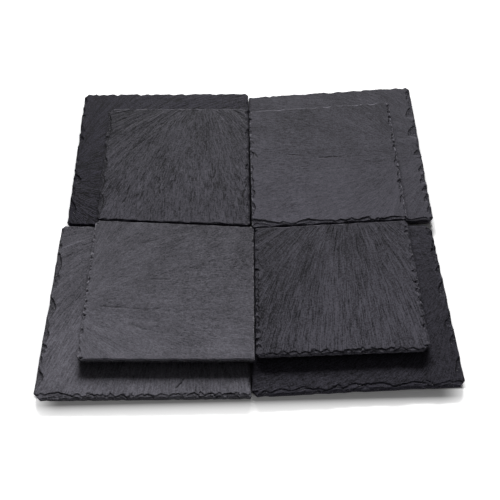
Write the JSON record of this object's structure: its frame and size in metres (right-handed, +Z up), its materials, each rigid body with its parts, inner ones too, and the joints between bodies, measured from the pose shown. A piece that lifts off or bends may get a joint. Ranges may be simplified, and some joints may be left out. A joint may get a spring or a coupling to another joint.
{
  "type": "square slate plate set",
  "caption": "Square slate serving plates with hand-dressed edges and rubber feet, small plates stacked on large ones.",
  "frame": {"origin": "on the table, under the middle of the block of four large plates", "axes": "+Z up, +Y to the back of the block as pictured, +X to the right"},
  "size_m": [0.6178, 0.6204, 0.0204],
  "materials": {
    "slate_pale": "riven, matt with a silky sheen",
    "slate_grey": "riven, matt with a silky sheen",
    "slate_dark": "riven, matt with a silky sheen",
    "rubber": "matt rubber"
  },
  "bodies": {
    "large_plate_front_left": {"large_slate_front_left": "slate_pale", "large_foot_front_left_1": "rubber", "large_foot_front_left_2": "rubber", "large_foot_front_left_3": "rubber", "large_foot_front_left_4": "rubber"},
    "large_plate_front_right": {"large_slate_front_right": "slate_dark", "large_foot_front_right_1": "rubber", "large_foot_front_right_2": "rubber", "large_foot_front_right_3": "rubber", "large_foot_front_right_4": "rubber"},
    "large_plate_back_left": {"large_slate_back_left": "slate_dark", "large_foot_back_left_1": "rubber", "large_foot_back_left_2": "rubber", "large_foot_back_left_3": "rubber", "large_foot_back_left_4": "rubber"},
    "large_plate_back_right": {"large_slate_back_right": "slate_grey", "large_foot_back_right_1": "rubber", "large_foot_back_right_2": "rubber", "large_foot_back_right_3": "rubber", "large_foot_back_right_4": "rubber"},
    "small_plate_front_left": {"small_slate_front_left": "slate_pale", "small_foot_front_left_1": "rubber", "small_foot_front_left_2": "rubber", "small_foot_front_left_3": "rubber", "small_foot_front_left_4": "rubber"},
    "small_plate_front_right": {"small_slate_front_right": "slate_grey", "small_foot_front_right_1": "rubber", "small_foot_front_right_2": "rubber", "small_foot_front_right_3": "rubber", "small_foot_front_right_4": "rubber"},
    "small_plate_back_left": {"small_slate_back_left": "slate_grey", "small_foot_back_left_1": "rubber", "small_foot_back_left_2": "rubber", "small_foot_back_left_3": "rubber", "small_foot_back_left_4": "rubber"},
    "small_plate_back_right": {"small_slate_back_right": "slate_grey", "small_foot_back_right_1": "rubber", "small_foot_back_right_2": "rubber", "small_foot_back_right_3": "rubber", "small_foot_back_right_4": "rubber"}
  },
  "joints": [
    {"name": "front_right_draw", "type": "slide", "parent": "large_plate_front_left", "child": "large_plate_front_right", "axis": [1, 0, 0], "range_m": [0, 0.15]},
    {"name": "back_left_draw", "type": "slide", "parent": "large_plate_front_left", "child": "large_plate_back_left", "axis": [0, 1, 0], "range_m": [0, 0.15]},
    {"name": "back_right_draw", "type": "slide", "parent": "large_plate_front_left", "child": "large_plate_back_right", "axis": [0.7071, 0.7071, 0], "range_m": [0, 0.2]},
    {"name": "small_front_left_lift", "type": "slide", "parent": "large_plate_front_left", "child": "small_plate_front_left", "axis": [0, 0, 1], "range_m": [0, 0.12]},
    {"name": "small_front_right_lift", "type": "slide", "parent": "large_plate_front_right", "child": "small_plate_front_right", "axis": [0, 0, 1], "range_m": [0, 0.12]},
    {"name": "small_back_left_lift", "type": "slide", "parent": "large_plate_back_left", "child": "small_plate_back_left", "axis": [0, 0, 1], "range_m": [0, 0.12]},
    {"name": "small_back_right_lift", "type": "slide", "parent": "large_plate_back_right", "child": "small_plate_back_right", "axis": [0, 0, 1], "range_m": [0, 0.12]}
  ]
}
